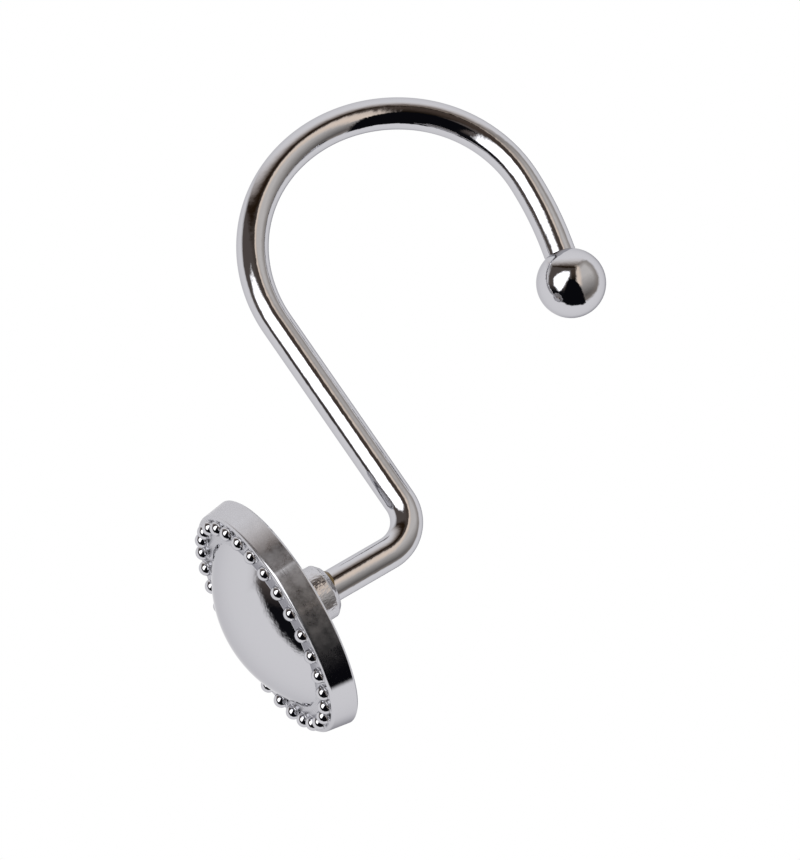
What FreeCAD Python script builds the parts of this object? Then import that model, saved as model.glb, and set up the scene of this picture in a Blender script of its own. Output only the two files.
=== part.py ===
import FreeCAD, Part
import math
import os

# Curtain hook of the open kind, in millimetres.
# A chromed steel wire is bent in one plane: a short leg, a tight elbow, a straight shank and an open crown that
# goes over the rod. The leg's end sits in the socket of a cast knob with a dome and a ring of beads, and the
# other end sits in a drilled steel ball that keeps the hook from scratching the rod.
# The hook hangs in the plane x = 0. The rod runs along X, the knob faces -Y and +Z is up.
# The origin is the rod seat: the point under the top of the crown that rests on the rod.

# Wire: its straight stretches and its bends, from the knob to the ball
WIRE_DIAMETER = 3.8
LEG_EXPOSED = 8.2
ELBOW_RADIUS = 4.7
ELBOW_ANGLE = 90.0
SHANK_LENGTH = 25.9
CROWN_RADIUS = 17.9
CROWN_ANGLE = 126.0
SHOULDER_RADIUS = 16.2
SHOULDER_ANGLE = 56.7
TAIL_RADIUS = 44.2
TAIL_ANGLE = 11.8
TAIL_STRAIGHT = 1.0

# Ball on the wire's rear end
BALL_DIAMETER = 8.2
BALL_SOCKET_DEPTH = 4.0
BALL_MOUTH_CHAMFER = 0.15

# Knob: the disc with its band, its back and its boss
KNOB_DIAMETER = 29.0
BAND_WIDTH = 3.3
BAND_DRAFT = 0.4
FRONT_ROUNDING = 0.4
BACK_CHAMFER = 0.25
BACK_RIM_WIDTH = 1.8
RECESS_DEPTH = 1.2
RECESS_DRAFT = 0.4
BOSS_DIAMETER = 6.6
BOSS_HEIGHT = 5.5
BOSS_DRAFT = 0.15
BOSS_ROOT_CHAMFER = 0.5
BOSS_CHAMFER = 0.7
BOSS_SOCKET_DEPTH = 6.5

# Knob: the dome and the beads on the flat shoulder round it
DOME_DIAMETER = 21.2
DOME_HEIGHT = 4.2
DOME_ROOT_DEPTH = 0.5
BEAD_COUNT = 29
BEAD_CIRCLE_DIAMETER = 25.4
BEAD_DIAMETER = 1.8
BEAD_RISE = 0.1
FIRST_BEAD_ANGLE = 5.0

# Radial gap between the wire and each of its two sockets
SOCKET_CLEARANCE = 0.03

# Places and sizes that the pieces share, worked out from the sizes above
WIRE_RADIUS = WIRE_DIAMETER / 2
SOCKET_RADIUS = WIRE_RADIUS + SOCKET_CLEARANCE
LEG_HEADING = 90.0 - ELBOW_ANGLE
KNOB_AXIS = FreeCAD.Vector(0, 1, 0)

# Direction of the poles of the dome's ball, which keeps them off its visible part
DOME_POLES = FreeCAD.Vector(1, 0, 0)


def heading_vector(heading):
    """The unit vector in the hook's plane at an angle, in degrees, from +Y towards +Z."""
    return FreeCAD.Vector(0, math.cos(math.radians(heading)), math.sin(math.radians(heading)))


def boss_face_centre():
    """Where the leg leaves the knob's boss, found by going down the shank and along the leg."""
    elbow_setback = ELBOW_RADIUS * math.tan(math.radians(ELBOW_ANGLE / 2))
    corner = FreeCAD.Vector(0, -CROWN_RADIUS, WIRE_RADIUS - CROWN_RADIUS - SHANK_LENGTH - elbow_setback)
    return corner - heading_vector(LEG_HEADING) * (elbow_setback + LEG_EXPOSED)


BOSS_FACE = boss_face_centre()
LEG_START = BOSS_FACE - heading_vector(LEG_HEADING) * BOSS_SOCKET_DEPTH


def arc_edge(start, middle, end):
    """An edge along the circle through three points."""
    return Part.Arc(start, middle, end).toShape()


def line_edge(start, end):
    """A straight edge between two points."""
    return Part.LineSegment(start, end).toShape()


def run_straight(edges, point, heading, length):
    """Adds a straight stretch to a path and returns the path's new end and heading."""
    end = point + heading_vector(heading) * length
    edges.append(line_edge(point, end))
    return end, heading


def run_bend(edges, point, heading, radius, angle):
    """Adds a bend, to the left for a positive angle, and returns the path's new end and heading."""
    side = math.copysign(90.0, angle)
    centre = point + heading_vector(heading + side) * radius
    middle = centre - heading_vector(heading + angle / 2 + side) * radius
    end = centre - heading_vector(heading + angle + side) * radius
    edges.append(arc_edge(point, middle, end))
    return end, heading + angle


def wire_path():
    """The wire's centre line, its rear end and the heading there."""
    edges = []
    point, heading = run_straight(edges, LEG_START, LEG_HEADING, BOSS_SOCKET_DEPTH + LEG_EXPOSED)
    point, heading = run_bend(edges, point, heading, ELBOW_RADIUS, ELBOW_ANGLE)
    point, heading = run_straight(edges, point, heading, SHANK_LENGTH)
    point, heading = run_bend(edges, point, heading, CROWN_RADIUS, -CROWN_ANGLE)
    point, heading = run_bend(edges, point, heading, SHOULDER_RADIUS, -SHOULDER_ANGLE)
    point, heading = run_bend(edges, point, heading, TAIL_RADIUS, -TAIL_ANGLE)
    point, heading = run_straight(edges, point, heading, TAIL_STRAIGHT + BALL_SOCKET_DEPTH)
    return Part.Wire(edges), point, heading


def make_hook_wire():
    """The round wire swept along its centre line, cut square at both ends."""
    path, _, _ = wire_path()
    rim = Part.makeCircle(WIRE_RADIUS, LEG_START, heading_vector(LEG_HEADING))
    return path.makePipe(Part.Face(Part.Wire(rim)))


def make_ball_tip():
    """The ball with its blind socket, turned about the line of the wire's rear end."""
    _, wire_end, heading = wire_path()
    outward = heading_vector(heading)
    sideways = heading_vector(heading + 90.0)
    radius = BALL_DIAMETER / 2
    centre = wire_end + outward * (radius - BALL_SOCKET_DEPTH)
    mouth_radius = SOCKET_RADIUS + BALL_MOUTH_CHAMFER
    mouth_drop = math.sqrt(radius ** 2 - mouth_radius ** 2)
    pole = centre + outward * radius
    mouth = centre - outward * mouth_drop + sideways * mouth_radius
    throat = centre - outward * (mouth_drop - BALL_MOUTH_CHAMFER) + sideways * SOCKET_RADIUS
    corner = wire_end + sideways * SOCKET_RADIUS
    edges = [
        arc_edge(pole, centre + sideways * radius, mouth),
        line_edge(mouth, throat),
        line_edge(throat, corner),
        line_edge(corner, wire_end),
        line_edge(wire_end, pole),
    ]
    return Part.Face(Part.Wire(edges)).revolve(centre, outward, 360)


# The knob is turned about KNOB_AXIS with the centre of its boss's end face at the origin, and is then put on the
# leg. Depths along the axis are negative from there to the top of the dome.
BACK_PLANE = -BOSS_HEIGHT
FRONT_PLANE = BACK_PLANE - BAND_WIDTH
RECESS_PLANE = BACK_PLANE - RECESS_DEPTH
DOME_TOP = FRONT_PLANE - DOME_HEIGHT


def knob_point(radius, depth):
    """A point of the knob's outline: its distance from the axis and its depth along it."""
    return FreeCAD.Vector(radius, depth, 0)


def polyline_edges(points):
    """Straight edges from each point to the next."""
    return [line_edge(start, end) for start, end in zip(points, points[1:])]


def turned(edges):
    """The solid that a closed outline makes when it is turned about the knob's axis."""
    return Part.Face(Part.Wire(edges)).revolve(knob_point(0, 0), KNOB_AXIS, 360)


def front_edges():
    """The flat front from the axis outwards and the rounded edge where the band starts."""
    front_radius = KNOB_DIAMETER / 2 - BAND_DRAFT
    diagonal = FRONT_ROUNDING * (1 - math.sqrt(0.5))
    shoulder_end = knob_point(front_radius - FRONT_ROUNDING, FRONT_PLANE)
    rounding_middle = knob_point(front_radius - diagonal, FRONT_PLANE + diagonal)
    band_start = knob_point(front_radius, FRONT_PLANE + FRONT_ROUNDING)
    front = line_edge(knob_point(0, FRONT_PLANE), shoulder_end)
    return [front, arc_edge(shoulder_end, rounding_middle, band_start)], band_start


def back_edges(band_start):
    """The band, the back's rim, the recess, the boss and the socket for the leg, back to the axis."""
    rim_radius = KNOB_DIAMETER / 2
    recess_radius = rim_radius - BACK_RIM_WIDTH
    boss_radius = BOSS_DIAMETER / 2
    root_radius = boss_radius + BOSS_DRAFT
    points = [
        band_start,
        knob_point(rim_radius, BACK_PLANE - BACK_CHAMFER),
        knob_point(rim_radius - BACK_CHAMFER, BACK_PLANE),
        knob_point(recess_radius, BACK_PLANE),
        knob_point(recess_radius - RECESS_DRAFT, RECESS_PLANE),
        knob_point(root_radius + BOSS_ROOT_CHAMFER, RECESS_PLANE),
        knob_point(root_radius, RECESS_PLANE + BOSS_ROOT_CHAMFER),
        knob_point(boss_radius, -BOSS_CHAMFER),
        knob_point(boss_radius - BOSS_CHAMFER, 0),
        knob_point(SOCKET_RADIUS, 0),
        knob_point(SOCKET_RADIUS, -BOSS_SOCKET_DEPTH),
        knob_point(0, -BOSS_SOCKET_DEPTH),
        knob_point(0, FRONT_PLANE),
    ]
    return polyline_edges(points)


def make_dome():
    """The part of a large ball in front of a plane just inside the disc."""
    foot_radius = DOME_DIAMETER / 2
    radius = (foot_radius ** 2 + DOME_HEIGHT ** 2) / (2 * DOME_HEIGHT)
    sphere = Part.makeSphere(radius, knob_point(0, DOME_TOP + radius), DOME_POLES)
    root = knob_point(0, FRONT_PLANE + DOME_ROOT_DEPTH)
    return sphere.common(Part.makeCylinder(radius, 2 * DOME_HEIGHT, root, KNOB_AXIS * -1))


def make_bead(angle):
    """One bead of the ring: a ball sunk nearly halfway into the shoulder."""
    centre = knob_point(BEAD_CIRCLE_DIAMETER / 2, FRONT_PLANE - BEAD_RISE)
    bead = Part.makeSphere(BEAD_DIAMETER / 2, centre, KNOB_AXIS)
    bead.rotate(knob_point(0, 0), KNOB_AXIS, angle)
    return bead


def make_beaded_knob():
    """The knob with its ring of beads, all one casting, seated on the leg."""
    edges, band_start = front_edges()
    body = turned(edges + back_edges(band_start))
    angles = [FIRST_BEAD_ANGLE + number * 360.0 / BEAD_COUNT for number in range(BEAD_COUNT)]
    knob = body.fuse([make_dome()] + [make_bead(angle) for angle in angles])
    knob.rotate(knob_point(0, 0), FreeCAD.Vector(1, 0, 0), LEG_HEADING)
    knob.translate(BOSS_FACE)
    return knob


def export(name, shape):
    """Writes one piece as a STEP file and prints what it is."""
    solid = shape.Solids[0]
    solid.exportStep("parts/" + name + ".step")
    box = solid.BoundBox
    print(name, "valid", solid.isValid(), "solids", len(shape.Solids), "volume %.2f mm3" % solid.Volume)
    print("  x %.2f %.2f  y %.2f %.2f  z %.2f %.2f" % (box.XMin, box.XMax, box.YMin, box.YMax, box.ZMin, box.ZMax))


os.makedirs("parts", exist_ok=True)
print("wire length %.2f mm" % wire_path()[0].Length)
export("hook_wire", make_hook_wire())
export("ball_tip", make_ball_tip())
export("beaded_knob", make_beaded_knob())
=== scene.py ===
"""Curtain hook, dressed: chromed bent wire, ball tip and beaded cast knob in a small light studio.

The hook hangs in the plane x = 0, with its origin at the rod seat. The rod runs along X, the knob faces -Y
and +Z is up. Sizes are written in millimetres and meshes are built in metres.
"""

import logging
import math
from dataclasses import dataclass, field
from enum import Enum
from typing import Any, Sequence

import bmesh
import bpy
from mathutils import Matrix, Vector, noise


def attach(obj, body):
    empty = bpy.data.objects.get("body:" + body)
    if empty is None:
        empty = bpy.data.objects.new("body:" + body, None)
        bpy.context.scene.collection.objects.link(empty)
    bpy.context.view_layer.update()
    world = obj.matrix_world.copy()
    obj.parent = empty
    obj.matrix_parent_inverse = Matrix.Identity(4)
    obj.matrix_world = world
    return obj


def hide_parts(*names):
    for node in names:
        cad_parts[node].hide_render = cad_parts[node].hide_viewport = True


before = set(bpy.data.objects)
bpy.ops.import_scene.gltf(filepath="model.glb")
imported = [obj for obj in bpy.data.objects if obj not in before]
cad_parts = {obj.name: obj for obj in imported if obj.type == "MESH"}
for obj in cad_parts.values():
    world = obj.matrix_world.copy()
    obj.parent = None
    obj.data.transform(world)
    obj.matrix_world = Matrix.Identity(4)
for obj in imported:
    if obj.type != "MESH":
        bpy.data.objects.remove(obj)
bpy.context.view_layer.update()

log = logging.getLogger("curtain_hook")

Tree = bpy.types.NodeTree
Node = bpy.types.Node
Socket = bpy.types.NodeSocket
Material = bpy.types.Material
Mesh = bpy.types.Mesh
Piece = bpy.types.Object
Pair = tuple[float, float]
Triple = tuple[float, float, float]
Colour = tuple[float, float, float, float]

MM = 0.001
ROOT_BODY = "root"
FULL_TURN = 2.0 * math.pi
RIGHT_ANGLE = 90.0
ALONG_ROD = Vector((1.0, 0.0, 0.0))
UPWARDS = Vector((0.0, 0.0, 1.0))

# Radius in mm below which a point of a turned outline lies on the axis
POLE_RADIUS = 1e-6

# Attribute that holds each point's place on the straightened wire, in mm
WIRE_SPACE = "wire_space"

# Node settings that are used more than once
PRODUCT = {"operation": "MULTIPLY"}
DOT_PRODUCT = {"operation": "DOT_PRODUCT"}
SCALED = {"operation": "SCALE"}
SMOOTH_STEP = {"interpolation_type": "SMOOTHSTEP"}
COLOUR_MIX = {"data_type": "RGBA"}
POINT_NUMBER = {"data_type": "FLOAT", "domain": "POINT"}


def linear(hex_colour: str, strength: float = 1.0) -> Colour:
    """Turns an sRGB hex colour into the linear values that shaders take.

    Args:
        hex_colour: Six hex digits after a hash sign.
        strength: Factor of the linear values.

    Returns:
        Linear red, green and blue, and an alpha of 1.
    """
    channels = [int(hex_colour[start:start + 2], 16) / 255.0 for start in (1, 3, 5)]
    values = [c / 12.92 if c <= 0.04045 else ((c + 0.055) / 1.055) ** 2.4 for c in channels]
    return values[0] * strength, values[1] * strength, values[2] * strength, 1.0


def add(
    tree: Tree, kind: str, settings: dict[str, Any] | None = None, inputs: dict[Any, Any] | None = None,
) -> Node:
    """Adds a node to a tree, with its settings, its values and the links into it.

    Args:
        tree: The shader or geometry tree.
        kind: The node's type name.
        settings: Attributes of the node to set.
        inputs: Values or sockets for the node's inputs, by name or number.

    Returns:
        The new node.
    """
    node = tree.nodes.new(kind)
    for name, value in (settings or {}).items():
        setattr(node, name, value)
    for key, value in (inputs or {}).items():
        if isinstance(value, Socket):
            tree.links.new(value, node.inputs[key])
        else:
            node.inputs[key].default_value = value
    return node


def heading_vector(heading: float) -> Vector:
    """The unit vector in the hook's plane at an angle, in degrees, from +Y towards +Z."""
    angle = math.radians(heading)
    return Vector((0.0, math.cos(angle), math.sin(angle)))


@dataclass(frozen=True)
class Axis:
    """The line that a piece is turned about: its start in mm, its direction and where a turn starts."""

    start: Vector
    along: Vector
    side: Vector

    def place(self, radius: float, depth: float, turn: float) -> Vector:
        """Finds a point of a turned piece.

        Args:
            radius: Distance from the axis, in mm.
            depth: Distance along the axis, in mm.
            turn: Angle about the axis, in radians.

        Returns:
            The point, in metres.
        """
        across = self.along.cross(self.side)
        out = self.side * math.cos(turn) + across * math.sin(turn)
        return (self.start + self.along * depth + out * radius) * MM


@dataclass(frozen=True)
class OutlinePoint:
    """A corner of a turned outline, with the radius that rounds it and the finish of the stretch after it."""

    radius: float
    depth: float
    rounding: float = 0.0
    finish: int = 0


def rounded_outline(corners: Sequence[OutlinePoint], steps: int, support: float) -> list[OutlinePoint]:
    """Rounds an outline's corners and puts a supporting point beside each end of each arc.

    Args:
        corners: The outline's corners in order, open at both ends.
        steps: Number of chords along each arc.
        support: Distance, in mm, of the supporting points from the arc's ends.

    Returns:
        The finer outline.
    """
    result = [corners[0]]
    for before, corner, after in zip(corners, corners[1:], corners[2:]):
        if corner.rounding == 0.0:
            result.append(corner)
            continue
        start, here, end = (Vector((point.radius, point.depth)) for point in (before, corner, after))
        back = (start - here).normalized()
        ahead = (end - here).normalized()
        half = back.angle(ahead) / 2.0
        reach = corner.rounding / math.tan(half)
        centre = here + (back + ahead).normalized() * (corner.rounding / math.sin(half))
        first = here + back * reach
        last = here + ahead * reach
        result.append(OutlinePoint(*(first + back * support), 0.0, before.finish))
        for step in range(steps + 1):
            spoke = (first - centre).normalized().slerp((last - centre).normalized(), step / steps)
            result.append(OutlinePoint(*(centre + spoke * corner.rounding), 0.0, corner.finish))
        result.append(OutlinePoint(*(last + ahead * support), 0.0, corner.finish))
    result.append(corners[-1])
    return result


def arc_outline(
    centre: Pair, radius: float, start: float, end: float, steps: int, finish: int = 0,
) -> list[OutlinePoint]:
    """Finds points along an arc of a turned outline.

    Args:
        centre: The arc's centre as radius and depth, in mm.
        radius: The arc's radius, in mm.
        start: Start angle in degrees, from the radius direction towards the depth direction.
        end: End angle in degrees.
        steps: Number of chords.
        finish: The finish along the arc.

    Returns:
        The points, both ends included.
    """
    points = []
    for step in range(steps + 1):
        angle = math.radians(start + (end - start) * step / steps)
        across = centre[0] + radius * math.cos(angle)
        depth = centre[1] + radius * math.sin(angle)
        points.append(OutlinePoint(across, depth, 0.0, finish))
    return points


def closed_mesh(name: str, shape: bmesh.types.BMesh) -> Mesh:
    """Makes a smooth mesh of a closed shape, with its faces pointing outwards.

    Args:
        name: The mesh's name.
        shape: The shape, which is freed.

    Returns:
        The mesh.
    """
    for face in shape.faces:
        face.smooth = True
    bmesh.ops.recalc_face_normals(shape, faces=shape.faces)
    mesh = bpy.data.meshes.new(name)
    shape.to_mesh(mesh)
    shape.free()
    return mesh


def turned_mesh(name: str, outline: Sequence[OutlinePoint], axis: Axis, sides: int) -> Mesh:
    """Turns an outline that starts and ends on its axis into a closed smooth mesh.

    Args:
        name: The mesh's name.
        outline: Points from one pole to the other.
        axis: The line to turn about.
        sides: Steps round the axis.

    Returns:
        The mesh.
    """
    shape = bmesh.new()
    turns = [FULL_TURN * side / sides for side in range(sides)]
    rings = []
    for point in outline:
        if point.radius < POLE_RADIUS:
            rings.append([shape.verts.new(axis.place(0.0, point.depth, 0.0))])
        else:
            rings.append([shape.verts.new(axis.place(point.radius, point.depth, turn)) for turn in turns])
    for point, ring, following in zip(outline, rings, rings[1:]):
        for side in range(sides):
            neighbour = (side + 1) % sides
            if len(ring) == 1:
                corners = [ring[0], following[side], following[neighbour]]
            elif len(following) == 1:
                corners = [ring[side], following[0], ring[neighbour]]
            else:
                corners = [ring[side], following[side], following[neighbour], ring[neighbour]]
            shape.faces.new(corners).material_index = point.finish
    return closed_mesh(name, shape)


def new_piece(name: str, mesh: Mesh) -> Piece:
    """Makes an object of a mesh and lets it ride with the hook.

    Args:
        name: The piece's name.
        mesh: Its mesh, already in place.

    Returns:
        The object.
    """
    piece = bpy.data.objects.new(name, mesh)
    bpy.context.scene.collection.objects.link(piece)
    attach(piece, ROOT_BODY)
    return piece


def geometry_tree(name: str, inputs: dict[str, str]) -> tuple[Tree, Node]:
    """Starts a geometry tree with a geometry input, named inputs and one geometry output.

    Args:
        name: The tree's name.
        inputs: Socket type of each further input, by its name.

    Returns:
        The tree and its input node.
    """
    tree = bpy.data.node_groups.new(name, "GeometryNodeTree")
    tree.interface.new_socket(name="Geometry", in_out="INPUT", socket_type="NodeSocketGeometry")
    for label, kind in inputs.items():
        tree.interface.new_socket(name=label, in_out="INPUT", socket_type=kind)
    tree.interface.new_socket(name="Geometry", in_out="OUTPUT", socket_type="NodeSocketGeometry")
    return tree, add(tree, "NodeGroupInput")


def end_geometry_tree(tree: Tree, made: Socket, finish: Socket) -> None:
    """Ends a geometry tree with real geometry in one finish.

    Args:
        tree: The geometry tree.
        made: What the tree has made so far.
        finish: The material to put on it.
    """
    real = add(tree, "GeometryNodeRealizeInstances", None, {"Geometry": made})
    dressed = add(
        tree, "GeometryNodeSetMaterial", None, {"Geometry": real.outputs["Geometry"], "Material": finish}
    )
    add(tree, "NodeGroupOutput", None, {"Geometry": dressed.outputs["Geometry"]})


def grown_mesh(name: str, start: bpy.types.ID, tree: Tree, values: dict[str, Any]) -> Mesh:
    """Runs a geometry tree and keeps the result as a plain mesh.

    Args:
        name: The new mesh's name.
        start: The curve or mesh that the tree starts from.
        tree: The geometry tree.
        values: Values of the tree's inputs, by their names.

    Returns:
        The mesh.
    """
    base = bpy.data.objects.new(start.name, start)
    bpy.context.scene.collection.objects.link(base)
    modifier = base.modifiers.new("grown", "NODES")
    modifier.node_group = tree
    for item in tree.interface.items_tree:
        if item.name in values:
            modifier[item.identifier] = values[item.name]
    bpy.context.view_layer.update()
    evaluated = base.evaluated_get(bpy.context.evaluated_depsgraph_get())
    mesh = bpy.data.meshes.new_from_object(evaluated)
    mesh.name = name
    base.modifiers.remove(modifier)
    bpy.data.objects.remove(base)
    return mesh


def empty_material(name: str) -> tuple[Material, Tree]:
    """Starts a material that has no nodes yet.

    Args:
        name: The material's name.

    Returns:
        The material and its tree.
    """
    material = bpy.data.materials.new(name)
    material.use_nodes = True
    material.node_tree.nodes.clear()
    return material, material.node_tree


class Grain(Enum):
    """What runs over a plated surface besides its orange peel, as the scale of its pattern on each axis.

    DRAWN is faint lines along the wire, left by the drawing die. POLISHED is a pit here and there. TOOLED is
    faint lines round the band, left by the trimming tool. CAST is the grain of the raw casting.
    """

    DRAWN = (1.0, 1.0, 0.5)
    POLISHED = (1.0, 1.0, 1.0)
    TOOLED = (0.05, 1.0, 0.05)
    CAST = (1.0, 0.5, 1.0)


@dataclass(frozen=True)
class Haze:
    """Cloudy patches of dull plating over the mirror, their size and heights in mm.

    There are none below the first height and all of them above the second. The heights given here lie below
    the hook. Between the two levels of the clouds, the patches go from the least to the whole of the cover.
    The detail adds finer clouds, and the breakup is how strong each is beside the one before it.
    """

    cover: float
    size: float
    heights: Pair = (-70.0, -65.0)
    roughness: float = 0.45
    clouds: Pair = (0.35, 0.65)
    least: float = 0.35
    detail: float = 5.0
    breakup: float = 0.7


@dataclass(frozen=True)
class ChromeFinish:
    """Decorative chrome plating: a cool mirror that takes its life from what it reflects.

    Sizes and heights are in mm. The peel is the plating's own soft waviness, and the grain is what the metal
    had before it was plated. Real grain is finer than 0.1 mm, too fine to show in the picture, so it is drawn
    as coarse as it needs to show.
    """

    name: str
    grain: Grain
    grain_size: float
    grain_height: float
    peel_size: float = 0.9
    peel_height: float = 0.0006
    peel_detail: float = 1.0
    grain_detail: float = 2.0
    roughness: float = 0.03
    colour: str = "#C7C7CB"
    edge_colour: str = "#DCDCDE"
    haze: Haze | None = None

    def make(self) -> Material:
        """Builds the material.

        Returns:
            A new node material.
        """
        material, tree = empty_material(self.name)
        place = self._place(tree)
        drawn_out = add(tree, "ShaderNodeMapping", None, {"Vector": place, "Scale": self.grain.value})
        layers = (
            (place, self.peel_size, self.peel_height, self.peel_detail),
            (drawn_out.outputs["Vector"], self.grain_size, self.grain_height, self.grain_detail),
        )
        normal: dict[str, Socket] = {}
        for where, size, height, detail in layers:
            relief = add(
                tree, "ShaderNodeTexNoise", None, {"Vector": where, "Scale": 1.0 / size, "Detail": detail}
            )
            bump = add(
                tree, "ShaderNodeBump", None,
                {"Height": relief.outputs["Fac"], "Distance": height * MM, **normal},
            )
            normal = {"Normal": bump.outputs["Normal"]}
        metal = {"Base Color": linear(self.colour), "Metallic": 1.0, **normal}
        mirror = add(
            tree, "ShaderNodeBsdfPrincipled", None,
            {**metal, "Roughness": self.roughness, "Specular Tint": linear(self.edge_colour)},
        )
        surface = mirror.outputs["BSDF"]
        if self.haze:
            dull = add(tree, "ShaderNodeBsdfPrincipled", None, {**metal, "Roughness": self.haze.roughness})
            veil = self._veil(tree, place, self.haze)
            mixed = add(tree, "ShaderNodeMixShader", None, {0: veil, 1: surface, 2: dull.outputs["BSDF"]})
            surface = mixed.outputs[0]
        add(tree, "ShaderNodeOutputMaterial", None, {"Surface": surface})
        return material

    def _place(self, tree: Tree) -> Socket:
        """Finds the point on the surface that the patterns are read at.

        Args:
            tree: The material's tree.

        Returns:
            The point in mm: on the straightened wire for drawn grain, and in space otherwise.
        """
        if self.grain is Grain.DRAWN:
            return add(tree, "ShaderNodeAttribute", {"attribute_name": WIRE_SPACE}).outputs["Vector"]
        source = add(tree, "ShaderNodeTexCoord").outputs["Object"]
        return add(tree, "ShaderNodeVectorMath", SCALED, {0: source, "Scale": 1.0 / MM}).outputs["Vector"]

    @staticmethod
    def _veil(tree: Tree, place: Socket, haze: Haze) -> Socket:
        """Works out how much of the mirror the haze covers.

        Args:
            tree: The material's tree.
            place: The point on the surface, in mm.
            haze: The haze.

        Returns:
            The share of dull plating.
        """
        cloud = add(
            tree, "ShaderNodeTexNoise", None,
            {
                "Vector": place, "Scale": 1.0 / haze.size, "Detail": haze.detail, "Roughness": haze.breakup,
            },
        )
        share = add(
            tree, "ShaderNodeMapRange", None,
            {
                "Value": cloud.outputs["Fac"], "From Min": haze.clouds[0], "From Max": haze.clouds[1],
                "To Min": haze.least * haze.cover, "To Max": haze.cover,
            },
        )
        height = add(tree, "ShaderNodeSeparateXYZ", None, {0: place})
        worn = add(
            tree, "ShaderNodeMapRange", SMOOTH_STEP,
            {"Value": height.outputs["Z"], "From Min": haze.heights[0], "From Max": haze.heights[1]},
        )
        veil = add(tree, "ShaderNodeMath", PRODUCT, {0: share.outputs["Result"], 1: worn.outputs["Result"]})
        return veil.outputs[0]


@dataclass(frozen=True)
class AdhesiveFinish:
    """A dried bead of amber adhesive: a clear brown film with a soft gloss."""

    name: str = "dried_amber_adhesive"
    colour: str = "#8C7440"
    deep_colour: str = "#4F3E22"
    cloud_size: float = 2.0 / 3.0
    roughness: float = 0.35

    def make(self) -> Material:
        """Builds the material.

        Returns:
            A new node material.
        """
        material, tree = empty_material(self.name)
        source = add(tree, "ShaderNodeTexCoord").outputs["Object"]
        scale = 1.0 / (self.cloud_size * MM)
        cloud = add(tree, "ShaderNodeTexNoise", None, {"Vector": source, "Scale": scale})
        tint = add(
            tree, "ShaderNodeMix", COLOUR_MIX,
            {0: cloud.outputs["Fac"], 6: linear(self.deep_colour), 7: linear(self.colour)},
        )
        shader = add(
            tree, "ShaderNodeBsdfPrincipled", None,
            {"Base Color": tint.outputs[2], "Roughness": self.roughness},
        )
        add(tree, "ShaderNodeOutputMaterial", None, {"Surface": shader.outputs["BSDF"]})
        return material


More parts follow.
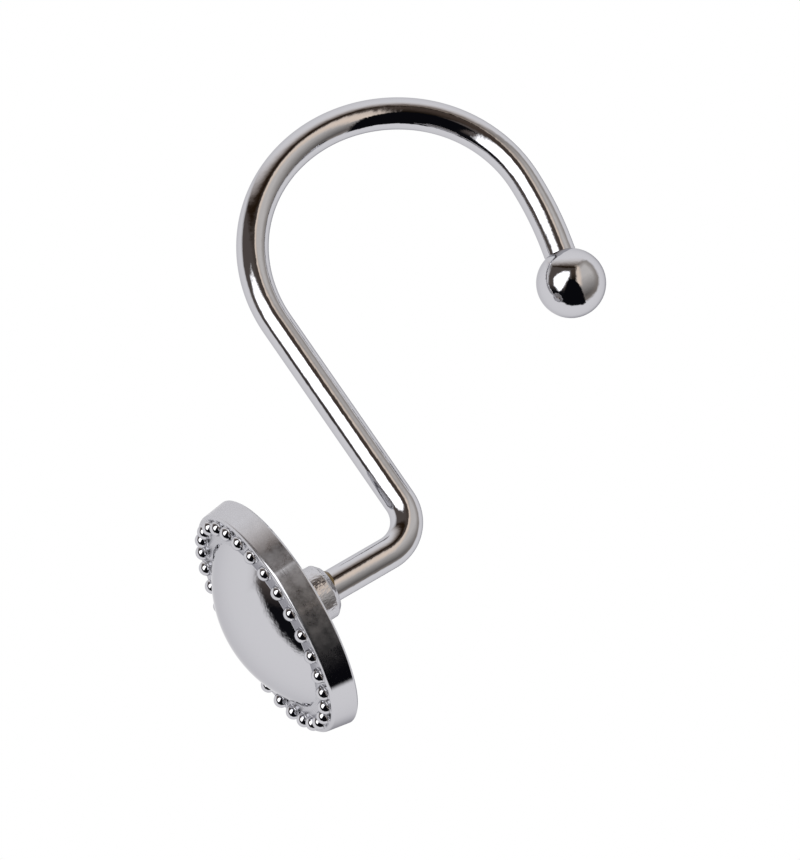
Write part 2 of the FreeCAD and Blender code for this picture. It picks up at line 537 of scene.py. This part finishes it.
@dataclass
class HookWire:
    """The bent wire: leg, right-angled elbow, shank, crown and tail, swept with one round section.

    The sweep goes in steps of about the given length. Its points and the heading at its end are worked out.
    """

    diameter: float = 3.8
    leg_exposed: float = 8.2
    leg_in_socket: float = 6.5
    elbow_radius: float = 4.7
    shank: float = 25.9
    crown_radius: float = 17.9
    crown_angle: float = 126.0
    shoulder_radius: float = 16.2
    shoulder_angle: float = 56.7
    tail_radius: float = 44.2
    tail_angle: float = 11.8
    tail_straight: float = 1.0
    tail_in_socket: float = 4.0
    step: float = 0.2
    sides: int = 80
    points: list[Vector] = field(init=False)
    end_heading: float = field(init=False)

    def __post_init__(self) -> None:
        """Walks along the centre line, from the knob's socket to the ball's, and keeps its points."""
        runs: list[Pair] = [
            (self.leg_in_socket + self.leg_exposed, 0.0),
            (self.elbow_radius, RIGHT_ANGLE),
            (self.shank, 0.0),
            (self.crown_radius, -self.crown_angle),
            (self.shoulder_radius, -self.shoulder_angle),
            (self.tail_radius, -self.tail_angle),
            (self.tail_straight + self.tail_in_socket, 0.0),
        ]
        heading = 0.0
        point = self.leg_exit() - heading_vector(heading) * self.leg_in_socket
        self.points = [point.copy()]
        for size, angle in runs:
            length = size * abs(math.radians(angle)) if angle else size
            count = max(2, round(length / self.step))
            bend = angle / count
            chord = length / count
            if angle:
                chord = 2.0 * size * math.sin(math.radians(abs(bend)) / 2.0)
            for _ in range(count):
                heading += bend / 2.0
                point = point + heading_vector(heading) * chord
                heading += bend / 2.0
                self.points.append(point.copy())
        self.end_heading = heading

    def leg_exit(self) -> Vector:
        """Where the leg leaves the knob's boss, in mm."""
        drop = self.shank + self.elbow_radius + self.crown_radius - self.diameter / 2.0
        return Vector((0.0, -self.crown_radius - self.elbow_radius - self.leg_exposed, -drop))

    def tree(self) -> Tree:
        """Makes the geometry tree that sweeps a round section along a curve.

        Returns:
            The tree. Its mesh keeps each point's place on the straightened wire, which runs along Z.
        """
        tree, given = geometry_tree(
            "swept_wire",
            {"Radius": "NodeSocketFloat", "Sides": "NodeSocketInt", "Finish": "NodeSocketMaterial"},
        )
        radius = given.outputs["Radius"]
        circle = add(
            tree, "GeometryNodeCurvePrimitiveCircle", {"mode": "RADIUS"},
            {"Resolution": given.outputs["Sides"], "Radius": radius},
        )
        spline = add(tree, "GeometryNodeSplineParameter")
        path = add(
            tree, "GeometryNodeStoreNamedAttribute", POINT_NUMBER,
            {"Geometry": given.outputs["Geometry"], "Name": "wire_length", "Value": spline.outputs["Length"]},
        )
        section = add(
            tree, "GeometryNodeStoreNamedAttribute", POINT_NUMBER,
            {"Geometry": circle.outputs["Curve"], "Name": "wire_turn", "Value": spline.outputs["Factor"]},
        )
        swept = add(
            tree, "GeometryNodeCurveToMesh", None,
            {
                "Curve": path.outputs["Geometry"], "Profile Curve": section.outputs["Geometry"],
                "Fill Caps": True,
            },
        )
        length, turn = (
            add(tree, "GeometryNodeInputNamedAttribute", {"data_type": "FLOAT"}, {"Name": name})
            for name in ("wire_length", "wire_turn")
        )
        angle = add(tree, "ShaderNodeMath", PRODUCT, {0: turn.outputs["Attribute"], 1: FULL_TURN})
        sideways = []
        for operation in ("COSINE", "SINE"):
            ratio = add(tree, "ShaderNodeMath", {"operation": operation}, {0: angle.outputs[0]})
            sideways.append(add(tree, "ShaderNodeMath", PRODUCT, {0: ratio.outputs[0], 1: radius}).outputs[0])
        place = add(
            tree, "ShaderNodeCombineXYZ", None,
            {"X": sideways[0], "Y": sideways[1], "Z": length.outputs["Attribute"]},
        )
        place_mm = add(tree, "ShaderNodeVectorMath", SCALED, {0: place.outputs[0], "Scale": 1.0 / MM})
        kept = add(
            tree, "GeometryNodeStoreNamedAttribute", {"data_type": "FLOAT_VECTOR", "domain": "POINT"},
            {"Geometry": swept.outputs["Mesh"], "Name": WIRE_SPACE, "Value": place_mm.outputs["Vector"]},
        )
        smooth = add(tree, "GeometryNodeSetShadeSmooth", None, {"Geometry": kept.outputs["Geometry"]})
        end_geometry_tree(tree, smooth.outputs["Geometry"], given.outputs["Finish"])
        return tree

    def finish(self) -> Material:
        """The wire's material."""
        # Drawn steel wire, bent and then plated: long reflections with slightly ragged borders.
        return ChromeFinish("chrome_plated_drawn_wire", Grain.DRAWN, 0.45, 0.010, peel_height=0.006).make()

    def build(self) -> Piece:
        """Sweeps the wire and puts it in place of the CAD wire.

        Returns:
            The piece.
        """
        curve = bpy.data.curves.new("wire_centre_line", "CURVE")
        curve.dimensions = "3D"
        spline = curve.splines.new("POLY")
        spline.points.add(len(self.points) - 1)
        for target, point in zip(spline.points, self.points):
            target.co = (*(point * MM), 1.0)
        mesh = grown_mesh(
            "hook_wire_polished", curve, self.tree(),
            {"Radius": self.diameter / 2.0 * MM, "Sides": self.sides, "Finish": self.finish()},
        )
        piece = new_piece("hook_wire_polished", mesh)
        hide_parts("hook_wire")
        return piece


@dataclass
class BallTip:
    """The drilled ball on the wire's rear end."""

    wire: HookWire
    diameter: float = 8.2
    clearance: float = 0.03
    mouth_chamfer: float = 0.15
    sides: int = 160
    steps: int = 120

    def outline(self) -> list[OutlinePoint]:
        """Draws the ball's outline about its centre, from its far pole to the floor of its socket.

        Returns:
            The outline.
        """
        radius = self.diameter / 2.0
        bore = self.wire.diameter / 2.0 + self.clearance
        mouth_angle = -90.0 + math.degrees(math.asin((bore + self.mouth_chamfer) / radius))
        outside = arc_outline((0.0, 0.0), radius, 90.0, mouth_angle, self.steps)
        outside[0] = OutlinePoint(0.0, radius)
        throat = outside[-1].depth + self.mouth_chamfer
        floor = self.wire.tail_in_socket - radius
        return outside + [OutlinePoint(bore, throat), OutlinePoint(bore, floor), OutlinePoint(0.0, floor)]

    def finish(self) -> Material:
        """The ball's material."""
        # Turned steel, tumbled and plated: a mirror ball that shows the whole studio, a little wavy.
        return ChromeFinish("chrome_plated_ball", Grain.POLISHED, 0.45, 0.009).make()

    def build(self) -> Piece:
        """Turns the ball with its socket and puts it in place of the CAD ball.

        Returns:
            The piece.
        """
        outward = heading_vector(self.wire.end_heading)
        centre = self.wire.points[-1] + outward * (self.diameter / 2.0 - self.wire.tail_in_socket)
        mesh = turned_mesh("ball_tip_polished", self.outline(), Axis(centre, outward, ALONG_ROD), self.sides)
        mesh.materials.append(self.finish())
        piece = new_piece("ball_tip_polished", mesh)
        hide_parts("ball_tip")
        return piece


class KnobRegion(Enum):
    """Stretches of the knob's surface that look different."""

    FRONT = 0
    SHOULDER = 1
    BAND = 2
    BACK = 3
    BOSS = 4


@dataclass
class BeadedKnob:
    """The cast knob: dome, flat shoulder, band, recessed back and boss, with its ring of beads."""

    wire: HookWire
    diameter: float = 29.0
    band_width: float = 3.3
    band_draft: float = 0.4
    front_rounding: float = 0.4
    back_chamfer: float = 0.25
    back_rim: float = 1.8
    back_edge_rounding: float = 0.09
    recess_depth: float = 1.2
    recess_draft: float = 0.4
    recess_edge_rounding: float = 0.15
    recess_foot_rounding: float = 0.4
    boss_diameter: float = 6.6
    boss_height: float = 5.5
    boss_draft: float = 0.15
    boss_root: float = 0.5
    boss_root_rounding: float = 0.3
    boss_chamfer: float = 0.7
    boss_side_rounding: float = 0.4
    boss_end_rounding: float = 0.2
    socket_clearance: float = 0.03
    socket_mouth_rounding: float = 0.08
    dome_diameter: float = 21.2
    dome_height: float = 4.2
    dome_foot_rounding: float = 0.15
    bead_count: int = 29
    bead_circle: float = 25.4
    bead_diameter: float = 1.8
    bead_rise: float = 0.1
    bead_foot: float = 0.1
    bead_root: float = 0.25
    first_bead: float = 5.0
    support: float = 0.03
    sides: int = 240
    dome_steps: int = 90
    rounding_steps: int = 8
    bead_sides: int = 28
    bead_steps: int = 14
    bead_foot_steps: int = 5

    def outline(self) -> list[OutlinePoint]:
        """Draws the knob's outline from the top of the dome round to the floor of its socket.

        Returns:
            The outline, its depths counted from the boss's end face.
        """
        front, shoulder, band, back, bossed = (region.value for region in KnobRegion)
        back_plane = -self.boss_height
        front_plane = back_plane - self.band_width
        foot = self.dome_diameter / 2.0
        sphere = (foot ** 2 + self.dome_height ** 2) / (2.0 * self.dome_height)
        dome_top = front_plane - self.dome_height
        half = math.degrees(math.asin(foot / sphere))
        dome = arc_outline((0.0, dome_top + sphere), sphere, -90.0, -90.0 + half, self.dome_steps, front)
        dome[0] = OutlinePoint(0.0, dome_top, 0.0, front)
        rim = self.diameter / 2.0
        band_slope = self.band_draft / (self.band_width - self.front_rounding - self.back_chamfer)
        front_rim = rim - self.band_draft - band_slope * self.front_rounding
        recess = rim - self.back_rim
        recess_plane = back_plane - self.recess_depth
        boss = self.boss_diameter / 2.0
        boss_root = boss + self.boss_draft
        bore = self.wire.diameter / 2.0 + self.socket_clearance
        socket_floor = -self.wire.leg_in_socket
        corners = [
            (foot, front_plane, self.dome_foot_rounding, shoulder),
            (front_rim, front_plane, self.front_rounding, band),
            (rim, back_plane - self.back_chamfer, self.back_edge_rounding, band),
            (rim - self.back_chamfer, back_plane, self.back_edge_rounding, back),
            (recess, back_plane, self.recess_edge_rounding, back),
            (recess - self.recess_draft, recess_plane, self.recess_foot_rounding, back),
            (boss_root + self.boss_root, recess_plane, self.boss_root_rounding, bossed),
            (boss_root, recess_plane + self.boss_root, self.boss_root_rounding, bossed),
            (boss, -self.boss_chamfer, self.boss_side_rounding, bossed),
            (boss - self.boss_chamfer, 0.0, self.boss_end_rounding, bossed),
            (bore, 0.0, self.socket_mouth_rounding, bossed),
            (bore, socket_floor, 0.0, back),
            (0.0, socket_floor, 0.0, back),
        ]
        sharp = [dome[-2]] + [OutlinePoint(*corner) for corner in corners]
        return dome[:-2] + rounded_outline(sharp, self.rounding_steps, self.support)

    def bead_outline(self) -> list[OutlinePoint]:
        """Draws one bead's outline: round top, short stem, flared foot and a root in the shoulder.

        Returns:
            The outline, its foot at depth 0.
        """
        radius = self.bead_diameter / 2.0
        foot = radius + self.bead_foot
        top = arc_outline((0.0, self.bead_rise), radius, 90.0, 0.0, self.bead_steps)
        top[0] = OutlinePoint(0.0, self.bead_rise + radius)
        flare = arc_outline((foot, self.bead_foot), self.bead_foot, 180.0, 270.0, self.bead_foot_steps)
        return top + flare + [OutlinePoint(foot, -self.bead_root), OutlinePoint(0.0, -self.bead_root)]

    def bead_tree(self) -> Tree:
        """Makes the geometry tree that sets one bead on each point of a ring.

        Returns:
            The tree.
        """
        tree, given = geometry_tree(
            "bead_ring",
            {
                "Count": "NodeSocketInt", "Circle radius": "NodeSocketFloat",
                "First angle": "NodeSocketFloat", "Finish": "NodeSocketMaterial",
            },
        )
        ring = add(
            tree, "GeometryNodeMeshCircle", None,
            {"Vertices": given.outputs["Count"], "Radius": given.outputs["Circle radius"]},
        )
        turned = add(tree, "ShaderNodeCombineXYZ", None, {"Z": given.outputs["First angle"]})
        placed = add(
            tree, "GeometryNodeTransform", None,
            {"Geometry": ring.outputs["Mesh"], "Rotation": turned.outputs[0]},
        )
        beads = add(
            tree, "GeometryNodeInstanceOnPoints", None,
            {"Points": placed.outputs["Geometry"], "Instance": given.outputs["Geometry"]},
        )
        end_geometry_tree(tree, beads.outputs["Instances"], given.outputs["Finish"])
        return tree

    def finishes(self) -> list[Material]:
        """Makes the casting's finishes.

        Returns:
            The materials of the knob's regions, in the order of KnobRegion.
        """
        # Zinc casting, barrel-polished and plated: a mirror whose edges of light waver a little.
        front = ChromeFinish("chrome_plated_casting_front", Grain.POLISHED, 0.5, 0.011)
        # The same plating where no polishing stone reaches: a satin that calms the beads' reflections.
        shoulder = ChromeFinish("chrome_plated_casting_shoulder", Grain.POLISHED, 0.5, 0.002, roughness=0.2)
        # The band is trimmed round and handled: fine lines along it, and cloudy patches that grey the dark
        # reflections but leave its lowest stretch clear.
        band = ChromeFinish(
            "chrome_plated_casting_band", Grain.TOOLED, 0.3, 0.002, roughness=0.05,
            haze=Haze(cover=0.58, size=1.8, heights=(-58.5, -55.0)),
        )
        # The back keeps the grain of the raw casting under the plating, so it glitters unevenly.
        back = ChromeFinish(
            "chrome_plated_casting_back", Grain.CAST, 0.4, 0.03, roughness=0.14, haze=Haze(0.35, 3.0),
        )
        # The boss is cast the roughest, over its core pin: its reflections break up into light and dark.
        boss = ChromeFinish(
            "chrome_plated_casting_boss", Grain.CAST, 0.45, 0.09, roughness=0.11, haze=Haze(0.25, 0.9),
        )
        return [finish.make() for finish in (front, shoulder, band, back, boss)]

    def build(self) -> list[Piece]:
        """Turns the knob, grows its beads and puts both in place of the CAD knob.

        Returns:
            The knob and the ring of beads.
        """
        finishes = self.finishes()
        axis = Axis(self.wire.leg_exit(), heading_vector(0.0), ALONG_ROD)
        casting = turned_mesh("knob_casting", self.outline(), axis, self.sides)
        for finish in finishes:
            casting.materials.append(finish)
        knob = new_piece("knob_casting", casting)
        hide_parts("beaded_knob")
        bead_axis = Axis(Vector(), UPWARDS, ALONG_ROD)
        bead = turned_mesh("one_bead", self.bead_outline(), bead_axis, self.bead_sides)
        ring = grown_mesh(
            "bead_ring", bead, self.bead_tree(),
            {
                "Count": self.bead_count, "Circle radius": self.bead_circle / 2.0 * MM,
                "First angle": -math.radians(self.first_bead), "Finish": finishes[KnobRegion.FRONT.value],
            },
        )
        # The ring is grown lying flat with its beads up, and a quarter turn makes them face -Y.
        upright = Matrix.Rotation(math.radians(RIGHT_ANGLE), 4, "X")
        shoulder = self.wire.leg_exit() - Vector((0.0, self.boss_height + self.band_width, 0.0))
        ring.transform(Matrix.Translation(shoulder * MM) @ upright)
        return [knob, new_piece("bead_ring", ring)]


@dataclass
class AdhesiveTrace:
    """The thin uneven fillet of adhesive that shows where the wire enters the boss.

    The section gives the fillet's corners as shares of its width and height. It swells by the middle, plus
    the slant on top of the wire and less it below, give or take the lumps, and never by under the least.
    """

    wire: HookWire
    width: float = 0.38
    height: float = 0.62
    sink: float = 0.02
    section: tuple[Pair, ...] = (
        (0.0, -0.25), (0.0, 1.0), (0.35, 0.75), (0.75, 0.3), (1.0, 0.0), (1.0, -0.25),
    )
    middle: float = 0.55
    slant: float = 0.5
    lumps: float = 0.45
    lump_scale: float = 1.4
    least: float = 0.15
    seed: float = 4.2
    sides: int = 120

    def swell(self, turn: float) -> float:
        """How large the fillet's section is at a turn, in radians, about the wire."""
        spot = Vector((math.cos(turn) * self.lump_scale, math.sin(turn) * self.lump_scale, self.seed))
        return max(self.least, self.middle - self.slant * math.sin(turn) + self.lumps * noise.noise(spot))

    def build(self) -> Piece:
        """Lays the fillet round the wire.

        Returns:
            The piece.
        """
        shape = bmesh.new()
        axis = Axis(self.wire.leg_exit(), heading_vector(0.0), ALONG_ROD)
        inner = self.wire.diameter / 2.0 - self.sink
        rings = []
        for side in range(self.sides):
            turn = FULL_TURN * side / self.sides
            width = self.width * self.swell(turn)
            height = self.height * self.swell(turn)
            places = [axis.place(inner + width * out, height * up, turn) for out, up in self.section]
            rings.append([shape.verts.new(place) for place in places])
        for ring, following in zip(rings, rings[1:] + rings[:1]):
            for low in range(len(self.section)):
                high = (low + 1) % len(self.section)
                shape.faces.new([ring[low], ring[high], following[high], following[low]])
        mesh = closed_mesh("adhesive_trace", shape)
        mesh.materials.append(AdhesiveFinish().make())
        return new_piece("adhesive_trace", mesh)


@dataclass(frozen=True)
class PhotoCamera:
    """The camera of the reference picture: where it aims, in mm, and how it is held, in degrees.

    The focal length and the image size are in pixels. The clip distances are in metres.
    """

    aim: Triple = (-1.777, -12.409, -33.974)
    distance: float = 780.24
    heading: float = -72.220
    climb: float = 15.826
    roll: float = -34.779
    focal_px: float = 6743.2
    image_px: tuple[int, int] = (800, 860)
    sensor: float = 36.0
    clip: Pair = (0.05, 20.0)

    def directions(self) -> tuple[Vector, Vector, Vector]:
        """Works out how the camera is turned.

        Returns:
            Its right, up and forward directions.
        """
        heading, climb, roll = (math.radians(angle) for angle in (self.heading, self.climb, self.roll))
        forward = Vector((
            math.sin(heading) * math.cos(climb),
            math.cos(heading) * math.cos(climb),
            math.sin(climb),
        ))
        level = forward.cross(UPWARDS).normalized()
        upright = level.cross(forward)
        right = level * math.cos(roll) + upright * math.sin(roll)
        up = upright * math.cos(roll) - level * math.sin(roll)
        return right, up, forward

    def build(self) -> None:
        """Sets up the camera and makes it the scene's."""
        right, up, forward = self.directions()
        data = bpy.data.cameras.new("photo_camera")
        data.sensor_width = self.sensor
        data.lens = self.focal_px * self.sensor / max(self.image_px)
        data.clip_start, data.clip_end = self.clip
        camera = bpy.data.objects.new("photo_camera", data)
        place = (Vector(self.aim) - forward * self.distance) * MM
        turned = Matrix((right, up, -forward)).transposed().to_4x4()
        camera.matrix_world = Matrix.Translation(place) @ turned
        bpy.context.scene.collection.objects.link(camera)
        bpy.context.scene.camera = camera


@dataclass(frozen=True)
class Fade:
    """A run from a patch's own colour to a second one, between two places of the chart."""

    start: Pair
    end: Pair
    colour: str


@dataclass(frozen=True)
class Rim:
    """The colour of a patch at its border, and how far in it takes to turn to the patch's own."""

    colour: str
    width: float


@dataclass(frozen=True)
class StudioPatch:
    """One lamp, wall or dark gap of the studio, as a soft-edged convex shape on a mirror ball in it.

    The ball is seen along the studio's axis. On it, u runs right and v down, from -1 to 1, and soft is how
    far the soft edge reaches to each side of the border.
    """

    name: str
    colour: str
    corners: tuple[Pair, ...]
    soft: float
    strength: float = 1.0
    fade: Fade | None = None
    rim: Rim | None = None

    def edges(self) -> list[Triple]:
        """Works out the shape's sides.

        Returns:
            For each side, the factors of u, v and 1 that give the distance inwards from it.
        """
        middle_u = sum(u for u, _ in self.corners) / len(self.corners)
        middle_v = sum(v for _, v in self.corners) / len(self.corners)
        found = []
        for (u, v), (next_u, next_v) in zip(self.corners, self.corners[1:] + self.corners[:1]):
            length = math.hypot(next_u - u, next_v - v)
            across = ((v - next_v) / length, (next_u - u) / length)
            inwards = math.copysign(1.0, across[0] * (middle_u - u) + across[1] * (middle_v - v))
            across_u, across_v = across[0] * inwards, across[1] * inwards
            found.append((across_u, across_v, -across_u * u - across_v * v))
        return found

    def paint(self, tree: Tree, place: Socket, under: Any) -> Socket:
        """Paints the patch over the colour that is there.

        Args:
            tree: The world's tree.
            place: The place on the chart, as u, v and 1.
            under: Colour or socket below the patch.

        Returns:
            The colour with the patch on it.
        """
        depths = [
            add(tree, "ShaderNodeVectorMath", DOT_PRODUCT, {0: place, 1: edge}).outputs["Value"]
            for edge in self.edges()
        ]
        depth = depths[0]
        for other in depths[1:]:
            depth = add(tree, "ShaderNodeMath", {"operation": "MINIMUM"}, {0: depth, 1: other}).outputs[0]
        colour: Any = linear(self.colour, self.strength)
        if self.fade:
            start = Vector(self.fade.start)
            run = Vector(self.fade.end) - start
            factors = (*(run / run.length_squared), -start.dot(run) / run.length_squared)
            along = add(tree, "ShaderNodeVectorMath", DOT_PRODUCT, {0: place, 1: factors})
            far = linear(self.fade.colour, self.strength)
            faded = add(tree, "ShaderNodeMix", COLOUR_MIX, {0: along.outputs["Value"], 6: colour, 7: far})
            colour = faded.outputs[2]
        if self.rim:
            inner = add(tree, "ShaderNodeMapRange", None, {"Value": depth, "From Max": self.rim.width})
            rim = linear(self.rim.colour, self.strength)
            rimmed = add(tree, "ShaderNodeMix", COLOUR_MIX, {0: inner.outputs["Result"], 6: rim, 7: colour})
            colour = rimmed.outputs[2]
        cover = add(
            tree, "ShaderNodeMapRange", {**SMOOTH_STEP, "label": self.name},
            {"Value": depth, "From Min": -self.soft, "From Max": self.soft},
        )
        painted = add(tree, "ShaderNodeMix", COLOUR_MIX, {0: cover.outputs["Result"], 6: under, 7: colour})
        return painted.outputs[2]


# The studio before the hook, painted in this order, each patch over those before it
ROOM = (
    StudioPatch(
        "brown haze", "#D4C7BD",
        ((-0.60, -0.58), (0.28, -0.62), (0.30, 0.0), (-0.62, 0.0)),
        soft=0.12,
        fade=Fade((0.0, -0.64), (0.0, -0.47), "#4F433B"),
    ),
    StudioPatch(
        "warm wall", "#E3DFDA",
        (
            (0.11, -0.41), (0.19, -0.52), (0.30, -0.63), (0.44, -0.64), (0.60, -0.51), (0.71, -0.34),
            (0.78, -0.17), (0.78, 0.03), (0.73, 0.22), (0.60, 0.38), (0.46, 0.50), (0.33, 0.50), (0.12, 0.10),
        ),
        soft=0.04,
        fade=Fade((0.26, -0.16), (0.50, 0.30), "#6A6663"),
        rim=Rim("#989089", 0.16),
    ),
    StudioPatch(
        "bright wall edge", "#F9E7D5",
        ((0.13, -0.46), (0.22, -0.46), (0.27, -0.18), (0.28, 0.06), (0.15, 0.10)),
        soft=0.06, strength=1.15,
    ),
    StudioPatch(
        "dark room", "#5F5753",
        (
            (-0.56, -0.46), (0.12, -0.43), (0.13, 0.10), (0.0, 0.60), (-0.35, 0.54), (-0.48, 0.41),
            (-0.58, 0.25), (-0.66, 0.05), (-0.64, -0.20),
        ),
        soft=0.03,
        fade=Fade((-0.2, 0.10), (-0.24, 0.28), "#131317"),
    ),
    StudioPatch(
        "dark beam", "#2A1D12",
        ((-0.54, -0.49), (0.14, -0.46), (0.12, -0.37), (-0.15, -0.41), (-0.54, -0.42)),
        soft=0.03,
    ),
    StudioPatch(
        "dark column", "#4F433B",
        ((-0.02, -0.38), (0.12, -0.39), (0.13, 0.10), (0.02, 0.0)),
        soft=0.025,
        fade=Fade((0.1, -0.28), (0.12, -0.10), "#1D1710"),
    ),
    StudioPatch(
        "black gap", "#0E0E12",
        (
            (-0.08, -0.13), (0.12, -0.06), (0.22, 0.04), (0.31, 0.22), (0.38, 0.40), (0.43, 0.555),
            (0.35, 0.615), (0.19, 0.64), (0.03, 0.66), (-0.13, 0.63), (-0.28, 0.51), (-0.16, 0.11),
        ),
        soft=0.02,
    ),
    StudioPatch(
        "softbox", "#FFFFFF",
        (
            (-0.50, -0.12), (-0.40, -0.24), (-0.22, -0.32), (-0.06, -0.32), (-0.04, -0.26), (-0.09, -0.15),
            (-0.29, 0.22), (-0.35, 0.24), (-0.49, 0.08),
        ),
        soft=0.03, strength=2.5,
    ),
)


@dataclass
class Studio:
    """A white backdrop behind the hook, a dark room with softbox and warm wall before it, and a pale floor.

    The backdrop darkens over the shade's reach to the chart's rim, but only along the shade's direction,
    where it sets in between the two ends of its run. The floor's sizes are in mm.
    """

    camera: PhotoCamera
    backdrop: str = "#FFFEFF"
    shade_colour: str = "#8C8A94"
    shade_reach: float = 0.40
    shade_direction: Triple = (1.0, 0.3, 0.0)
    shade_run: Pair = (-0.3, 0.6)
    floor_drop: float = 400.0
    floor_size: float = 6000.0
    floor_colour: str = "#F3F3F3"
    floor_roughness: float = 0.9
    patches: Sequence[StudioPatch] = ROOM

    def build(self) -> None:
        """Draws the studio in the world and lays the floor."""
        world = bpy.data.worlds.new("studio")
        bpy.context.scene.world = world
        world.use_nodes = True
        tree = world.node_tree
        tree.nodes.clear()
        place, facing = self._ball_chart(tree)
        colour: Any = self._backdrop(tree, place, facing)
        for patch in self.patches:
            colour = patch.paint(tree, place, colour)
        lit = add(tree, "ShaderNodeBackground", None, {"Color": colour})
        plain = add(tree, "ShaderNodeBackground", None, {"Color": linear("#FFFFFF")})
        ray = add(tree, "ShaderNodeLightPath")
        seen = add(
            tree, "ShaderNodeMixShader", None,
            {0: ray.outputs["Is Camera Ray"], 1: lit.outputs[0], 2: plain.outputs[0]},
        )
        add(tree, "ShaderNodeOutputWorld", None, {"Surface": seen.outputs[0]})
        self._lay_floor()

    def _ball_chart(self, tree: Tree) -> tuple[Socket, Socket]:
        """Finds where on the mirror ball each direction of the world shows.

        Args:
            tree: The world's tree.

        Returns:
            The place as u, v and 1, and how far the ball's surface faces there along the studio's axis: -1 at
            the middle, 0 at the rim.
        """
        right, up, forward = self.camera.directions()
        direction = add(tree, "ShaderNodeTexCoord").outputs["Generated"]
        away = add(tree, "ShaderNodeVectorMath", {"operation": "SUBTRACT"}, {0: direction, 1: forward})
        normal = add(tree, "ShaderNodeVectorMath", {"operation": "NORMALIZE"}, {0: away.outputs[0]})
        u, v, facing = (
            add(tree, "ShaderNodeVectorMath", DOT_PRODUCT, {0: normal.outputs[0], 1: side}).outputs["Value"]
            for side in (right, -up, forward)
        )
        place = add(tree, "ShaderNodeCombineXYZ", None, {"X": u, "Y": v, "Z": 1.0})
        return place.outputs["Vector"], facing

    def _backdrop(self, tree: Tree, place: Socket, facing: Socket) -> Socket:
        """Paints the backdrop with its shade.

        Args:
            tree: The world's tree.
            place: The place on the chart, as u, v and 1.
            facing: How far the ball's surface faces there along the axis.

        Returns:
            The colour.
        """
        measure = add(tree, "ShaderNodeVectorMath", DOT_PRODUCT, {0: place, 1: self.shade_direction})
        runs = ((facing, -self.shade_reach, 0.0), (measure.outputs["Value"], *self.shade_run))
        outwards, sideways = (
            add(tree, "ShaderNodeMapRange", SMOOTH_STEP, {"Value": value, "From Min": low, "From Max": high})
            for value, low, high in runs
        )
        shade = add(
            tree, "ShaderNodeMath", PRODUCT, {0: outwards.outputs["Result"], 1: sideways.outputs["Result"]}
        )
        shaded = add(
            tree, "ShaderNodeMix", COLOUR_MIX,
            {0: shade.outputs[0], 6: linear(self.backdrop), 7: linear(self.shade_colour)},
        )
        return shaded.outputs[2]

    def _lay_floor(self) -> None:
        """Lays a pale floor below the hook. The metal shows the studio there and not the floor."""
        half = self.floor_size / 2.0 * MM
        height = -self.floor_drop * MM
        corners = [(x * half, y * half, height) for x, y in ((-1, -1), (1, -1), (1, 1), (-1, 1))]
        mesh = bpy.data.meshes.new("floor")
        mesh.from_pydata(corners, [], [(0, 1, 2, 3)])
        floor = bpy.data.objects.new("floor", mesh)
        bpy.context.scene.collection.objects.link(floor)
        floor.visible_glossy = False
        # Board painted matt white: it gives back an even pale light.
        material, tree = empty_material("matt_white_floor")
        shader = add(
            tree, "ShaderNodeBsdfPrincipled", None,
            {"Base Color": linear(self.floor_colour), "Roughness": self.floor_roughness},
        )
        add(tree, "ShaderNodeOutputMaterial", None, {"Surface": shader.outputs["BSDF"]})
        mesh.materials.append(material)


def main() -> None:
    """Builds the hook piece by piece and reports each, then sets up the camera and the studio."""
    logging.basicConfig(level=logging.INFO, format="%(name)s %(message)s")
    bpy.context.scene.view_settings.view_transform = "Standard"
    wire = HookWire()
    pieces = [wire.build(), BallTip(wire).build(), *BeadedKnob(wire).build(), AdhesiveTrace(wire).build()]
    for piece in pieces:
        log.info("%s: %d faces", piece.name, len(piece.data.polygons))
    camera = PhotoCamera()
    camera.build()
    Studio(camera).build()


if __name__ == "__main__":
    main()
